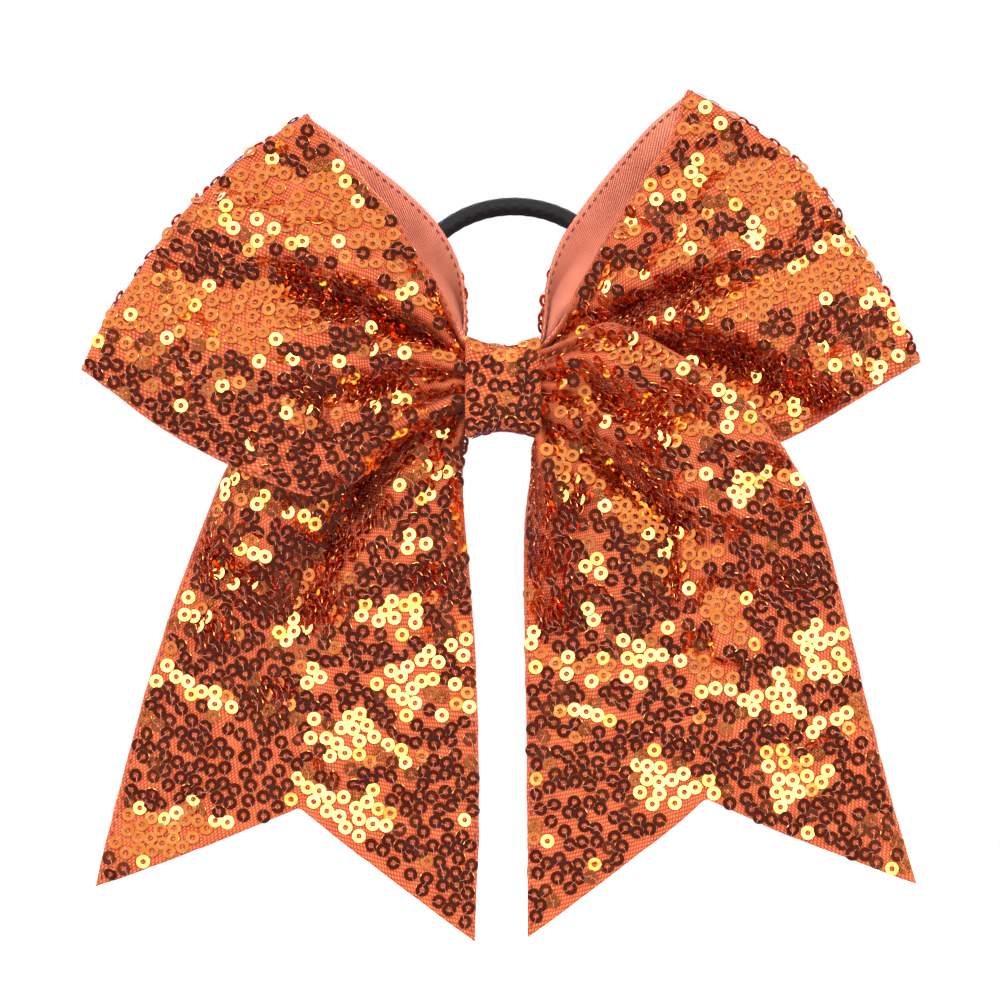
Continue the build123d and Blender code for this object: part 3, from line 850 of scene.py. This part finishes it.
def ribbon_pieces(name, grid, seed, v_depth=None):
    """Every piece of one loop or tail."""
    is_loop = "loop" in name
    n = ribbon_normals(grid)
    lining_piece = sheet_object(f"{name}_lining_sheet", grid, n, -LINING, -0.02, lining)
    cloth_piece = sheet_object(f"{name}_cloth_sheet", grid, n, 0.02, CLOTH, cloth)
    places, normal, run, gathered, far_along = scatter(grid, n, seed, open_end=v_depth is not None)
    rng = np.random.default_rng(seed + 5)
    lift = CLOTH + 0.2 + 0.35 * gathered[:, None] + rng.uniform(0, 0.3, (len(places), 1))
    places = places + normal * lift
    at_back = (far_along > 0.5) & is_loop
    aside = np.where(at_back, 0.15, 0.75) * gathered
    facing = tilted(normal, seed + 1, 1.7 + 11.0 * gathered**1.5, aside=aside)
    trims = []
    for part, mine in (("front", ~at_back), ("back", at_back)):
        if not mine.any():
            continue
        title = f"{name}_{part}_sequins"
        trims.append(rings_object(title, places[mine], facing[mine], run[mine]))
    paths, up = thread_paths(places, facing, run, seed + 2)
    trims.append(thread_object(f"{name}_sequin_thread", paths, up))
    seams = seam_object(f"{name}_seam_stitches", grid, n, CLOTH)
    trims.append(seam_object(f"{name}_lining_seam_stitches", grid, -n, LINING))
    for piece in (lining_piece, cloth_piece, seams, *trims):
        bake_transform(piece)
    stitched = ("_front", "_back") if is_loop else ("",)
    layers = stitched if is_loop else ("", "_upper")
    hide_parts(*(f"{name}{layer}_lining" for layer in layers))
    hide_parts(*(f"{name}{layer}_sequin_cloth" for layer in layers))
    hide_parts(*(f"{name}{layer}_edge_stitching" for layer in stitched))


for side, sign, seed, loop, tail, v_depth in (
    ("left", -1, 100, left_loop, left_tail, LEFT_V),
    ("right", 1, 200, right_loop, right_tail, RIGHT_V),
):
    ribbon_pieces(f"{side}_loop", loop, seed)
    ribbon_pieces(f"{side}_tail", tail, seed + 50, v_depth)


# ---- knot ----
KNOT_HALF_WIDTH = 7.2
KNOT_FRONT = -12.6
KNOT_BACK = 2.9
KNOT_CENTRE = np.array([0.0, (KNOT_FRONT + KNOT_BACK) / 2, 0.0])
KNOT_WAIST = (-8.2, 7.8)  # lowest and highest point at the middle, and at the sides
KNOT_RIM = (-9.8, 9.6)
KNOT_CORNER = 2.6
KNOT_AROUND = 150  # mesh steps round the knot and across its front
KNOT_ACROSS = 18
HEM = 0.7  # radius by which its sides are turned under
HEM_STEPS = 7


def knot_section(x, inset):
    """Outline of the strip in the side view at x, evenly spaced from the back round over the top."""
    pinch = (x / KNOT_HALF_WIDTH) ** 2
    bottom = KNOT_WAIST[0] + (KNOT_RIM[0] - KNOT_WAIST[0]) * pinch + inset
    top = KNOT_WAIST[1] + (KNOT_RIM[1] - KNOT_WAIST[1]) * pinch - inset
    corner = KNOT_CORNER - inset / 2
    back, front = KNOT_BACK - inset - corner, KNOT_FRONT + inset + corner
    outline = [(KNOT_BACK - inset, 0.0)]
    for y, z, start in ((back, top, 0), (front, top, 90), (front, bottom, 180), (back, bottom, 270)):
        z += -corner if z == top else corner
        for step in range(9):
            angle = math.radians(start + step * 90 / 8)
            outline.append((y + corner * math.cos(angle), z + corner * math.sin(angle)))
    outline = np.array(outline + outline[:1])
    length = lengths_along(outline)
    return sampled(np.linspace(0.1, length[-1] - 0.1, KNOT_AROUND), length, outline)


def knot_strip():
    """The knot strip as a grid: rows across, with its sides turned under, and columns round."""
    turn = pi * np.arange(1, HEM_STEPS + 1) / (HEM_STEPS + 1)
    level = np.zeros(KNOT_ACROSS)
    out = np.concatenate([-HEM * np.sin(turn[::-1]), level, HEM * np.sin(turn)])
    drop = HEM * np.concatenate([1 - np.cos(turn[::-1]), level, 1 - np.cos(turn)])
    side = KNOT_HALF_WIDTH - HEM
    between = np.linspace(-side, side, KNOT_ACROSS)
    base = np.concatenate([np.full(HEM_STEPS, -side), between, np.full(HEM_STEPS, side)])
    around = np.linspace(0, 2 * pi, KNOT_AROUND)
    rows = []
    for x, inset in zip(base + out, drop):
        section = knot_section(x, inset)
        crease = 0.06 * np.sin(9 * around + 0.3 * x) + 0.03 * np.sin(14 * around - 0.5 * x)
        crease *= math.exp(-((inset / 0.5) ** 2))
        section = section + unit(section - KNOT_CENTRE[1:]) * crease[:, None]
        rows.append(np.column_stack([np.full(KNOT_AROUND, x), section]))
    return np.array(rows)


def box_of(node):
    """Lowest and highest corner of a CAD node, in millimetres."""
    return (np.array(corner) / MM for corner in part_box(node))


def outward_normals(grid):
    n = grid_normals(grid)
    middle = grid.shape[0] // 2
    return n if ((grid[middle] - KNOT_CENTRE) * n[middle]).sum() > 0 else -n


strip = knot_strip()
strip_normals = outward_normals(strip)
knot_lining_band = sheet_object("knot_lining_band", strip, strip_normals, -0.35, 0.0, lining)
knot_cloth_band = sheet_object("knot_cloth_band", strip, strip_normals, 0.02, 0.3, cloth)
flat_rows = slice(HEM_STEPS - 1, 1 - HEM_STEPS)
places, normal, run, *_ = scatter(strip[flat_rows], strip_normals[flat_rows], 301, margin=0.5, in_knot=True)
keep = (places[:, 1] < KNOT_BACK - 1.0) | (np.abs(places[:, 2] - 1.2) > 4.0)  # none under the lapped end
places, normal, run = places[keep] + normal[keep] * 0.5, tilted(normal[keep], 302, 1.8, 14.0), run[keep]
knot_sequins = rings_object("knot_sequins", places, normal, run)
paths, up = thread_paths(places, normal, run, 303)
knot_threads = thread_object("knot_sequin_thread", paths, up)

# The strip's lapped end at the back, held by hand stitches.
lap_low, lap_high = box_of("knot_lapped_end")
lap_x = np.linspace(lap_low[0] + 0.3, lap_high[0] - 0.3, 26)
lap_z = np.linspace(lap_low[2] + 0.2, lap_high[2] - 0.2, 20)
across, up_lap = np.meshgrid(lap_x, lap_z, indexing="ij")
edges = [across - lap_low[0], lap_high[0] - across, up_lap - lap_low[2], lap_high[2] - up_lap]
sag = 0.45 * np.exp(-np.minimum.reduce(edges) / 0.7)  # its edges bend towards the knot
lap = np.stack([across, (lap_low[1] + lap_high[1]) / 2 + 0.05 - sag, up_lap], axis=2)
lap_normals = outward_normals(lap)
lap_lining = sheet_object("knot_lapped_end_lining", lap, lap_normals, -0.3, 0.0, lining)
lap_cloth = sheet_object("knot_lapped_end_cloth", lap, lap_normals, 0.02, 0.35, cloth)
places, normal, run, *_ = scatter(lap, lap_normals, 311, margin=1.5, in_knot=True)
places = places + normal * 0.55
lap_sequins = rings_object("knot_lapped_end_sequins", places, tilted(normal, 312, 5.0), run)
stitch_low, stitch_high = box_of("knot_hand_stitches")
paths = []
for k, x in enumerate(np.linspace(stitch_low[0] + 0.3, stitch_high[0] - 0.3, 6)):
    slant = 0.35 if k % 2 else -0.25
    middle = (stitch_low[2] + stitch_high[2]) / 2
    reach = np.array([-1.2, -0.9, -0.3, 0.4, 0.95, 1.25])
    rise = np.array([-0.75, -0.1, 0.1, 0.1, -0.05, -0.3])
    paths.append(np.column_stack([x + slant * reach, stitch_low[1] + 0.1 + rise, middle + reach]))
paths = np.array(paths)
backwards = np.broadcast_to(np.array([0.0, 1.0, 0.0]), (len(paths), 3))
hand_stitches = tubes_object("knot_hand_sewn_stitches", paths, backwards, HAND_THREAD, sewing_thread)

knot_slots = {
    "ribbed_lining": (knot_lining_band, lap_lining),
    "sequin_cloth": (knot_cloth_band, knot_sequins, lap_cloth, lap_sequins),
    "stitching": (knot_threads, hand_stitches),
}
for slot, pieces in knot_slots.items():
    for piece in pieces:
        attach(piece, "knot")
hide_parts("knot_lining")
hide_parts("knot_sequin_cloth")
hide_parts("knot_lapped_end")
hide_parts("knot_hand_stitches")
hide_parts("front_strip_gather", "back_strip_gather")
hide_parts("middle_strip_gather")

# ---- hair elastic ----
ELASTIC_RADIUS = 1.85
ELASTIC_LEAN = math.radians(22.0)
CORD_RUN = 7.8  # from the joint's middle to the right bend
CORD_JOINT = 3.0  # half the joint's length
RIGHT_BEND = 16.2  # radii of the ring's bends
LEFT_BEND = 11.8
TOP_RADIUS = 21.8
RIGHT_RISE = 2.1  # straight part above the right bend
BRAID_AROUND = 8  # strands each way
BRAID_PITCH = 2.6
BRAID_HEIGHT = 0.09
CORD_STEP = 0.22


def elastic_path():
    """Points along the ring, from its joint round to the joint again, and how far along each lies."""
    right = CORD_RUN + RIGHT_BEND
    left = right - 2 * TOP_RADIUS
    top = RIGHT_BEND + RIGHT_RISE
    corners = [(CORD_JOINT, 0.0)]
    arcs = (
        (CORD_RUN, RIGHT_BEND, RIGHT_BEND, -90, 0),
        (right - TOP_RADIUS, top, TOP_RADIUS, 0, 180),
        (left + LEFT_BEND, LEFT_BEND, LEFT_BEND, 180, 270),
    )
    for x, y, radius, start, stop in arcs:
        for angle in np.radians(np.linspace(start, stop, 90)):
            corners.append((x + radius * math.cos(angle), y + radius * math.sin(angle)))
    corners = np.array(corners + [(-CORD_JOINT, 0.0)])
    length = lengths_along(corners)
    share = np.arange(0, length[-1], CORD_STEP)
    flat = sampled(share, length, corners)
    lean = np.array([0.0, math.sin(ELASTIC_LEAN), math.cos(ELASTIC_LEAN)])
    return flat[:, :1] * np.array([1.0, 0.0, 0.0]) + flat[:, 1:] * lean, share


def braided_elastic(name, sides=64):
    """The braided sheath: a tube whose surface rises and falls where its strands cross."""
    path, share = elastic_path()
    ahead = unit(np.gradient(path, axis=0))
    across_ring = np.array([0.0, -math.cos(ELASTIC_LEAN), math.sin(ELASTIC_LEAN)])
    side = unit(np.cross(ahead, across_ring))
    angles = 2 * pi * np.arange(sides) / sides
    run = 2 * pi * share[:, None] / BRAID_PITCH
    turns = BRAID_AROUND * angles
    weave = np.abs(np.cos((turns + run) / 2) * np.cos((turns - run) / 2)) ** 0.6
    radius = ELASTIC_RADIUS - BRAID_HEIGHT * (1 - weave)
    verts = path[:, None] + circles(angles, side, across_ring) * radius[..., None]
    return new_object(name, verts.reshape(-1, 3), tube_faces(1, len(path), sides), braid)


elastic = braided_elastic("hair_elastic_braided_sheath")
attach(elastic, "elastic")
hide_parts("hair_elastic_sheath")

carried = {"hair_elastic_core": rubber, "hair_elastic_joint": bonded_joint, "gather_thread": gathering_thread}
for node, look in carried.items():
    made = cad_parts[node]
    for solid in made if isinstance(made, (list, tuple)) else [made]:
        for slot in solid.material_slots:
            slot.material = look


# ---- light, floor and camera ----
SLIT_LIGHT = 0.9  # brightness of the parts of the room
RING_LIGHT = 9.0
SKY_LIGHT = 0.85
DARK_LIGHT = 0.085
DARK_TINT = (1.0, 0.75, 2.8, 1.0)
RING = (16.5, 27.5)  # elevations between which the ring lies, and the sky begins
SKY = (28.0, 34.0)


def studio_world():
    """A white room to the camera; to cloth and foil a dark one with a bright ring, slits and a sky."""
    scene.world = bpy.data.worlds.new("studio")
    look = Look(scene.world, "Background")

    def step_up(value, start, stop):
        made = look.node("ShaderNodeMapRange", Value=value, From_Min=start, From_Max=stop)
        made.interpolation_type = "SMOOTHSTEP"
        return made.outputs["Result"]

    def band(value, start, stop, soft):
        rise = step_up(value, start - soft, start + soft)
        return look.math("SUBTRACT", rise, step_up(value, stop - soft, stop + soft))

    direction = look.node("ShaderNodeTexCoord").outputs["Generated"]
    x, y, z = look.node("ShaderNodeSeparateXYZ", Vector=direction).outputs
    azimuth = look.math("ARCTAN2", x, look.math("MULTIPLY", y, -1.0))
    azimuth = look.math("MULTIPLY", azimuth, 180 / pi)
    turn = look.math("PINGPONG", look.math("ADD", azimuth, 360.0), 22.5)
    elevation = look.math("MULTIPLY", look.math("ARCSINE", z), 180 / pi)
    slits = look.math("MULTIPLY", step_up(turn, 19.5, 21.0), band(elevation, -9.0, 60.0, 5.0))
    slits = look.math("MULTIPLY", slits, SLIT_LIGHT)
    ring = look.math("MULTIPLY", band(elevation, *RING, 1.5), RING_LIGHT)
    sky = look.math("MULTIPLY", step_up(elevation, *SKY), SKY_LIGHT)
    level = look.math("ADD", look.math("ADD", slits, ring), sky)
    level = look.math("ADD", level, DARK_LIGHT)
    seen = look.node("ShaderNodeLightPath").outputs["Is Camera Ray"]
    strength = look.node("ShaderNodeMix", Factor=seen, A=level, B=1.0).outputs["Result"]
    tint = look.mix(look.math("MINIMUM", strength, 1.0), DARK_TINT, (1.0, 1.0, 1.0, 1.0))
    look.set(Color=tint, Strength=strength)


def area_light(name, place, size, power):
    data = bpy.data.lights.new(name, "AREA")
    data.size = size
    data.energy = power
    light = in_scene(name, data)
    light.location = place
    light.rotation_euler = (-light.location).to_track_quat("-Z", "Y").to_euler()
    light.visible_glossy = False


studio_world()
area_light("key_light", (-0.55, -0.95, 0.75), 0.5, 7.0)
area_light("fill_light", (0.8, -0.8, 0.2), 0.7, 3.0)
area_light("back_light", (0.3, 1.0, 0.6), 0.7, 0.5)

floor_look = material("pale_floor")
floor_tone = floor_look.ramp(floor_look.noise(60.0), (0.3, (0.86, 0.86, 0.85)), (0.7, (0.9, 0.9, 0.9)))
floor_material = floor_look.set(Base_Color=floor_tone, Roughness=0.7)
FLOOR = 900.0  # half its side
FLOOR_HEIGHT = cad_box[0][2] / MM - 45.0
corners = [(-FLOOR, -FLOOR), (FLOOR, -FLOOR), (FLOOR, FLOOR), (-FLOOR, FLOOR)]
floor = new_object("floor", [(x, y, FLOOR_HEIGHT) for x, y in corners], [[0, 1, 2, 3]], floor_material)
floor.visible_glossy = False

camera_data = bpy.data.cameras.new("camera")
camera_data.lens = 180
camera_data.sensor_width = 36
camera = in_scene("camera", camera_data)
camera.location = (-0.0006, -1.0, CAMERA_HEIGHT * MM)
camera.rotation_euler = (pi / 2, 0, 0)
scene.camera = camera
scene.view_settings.view_transform = "Standard"

bpy.context.view_layer.update()
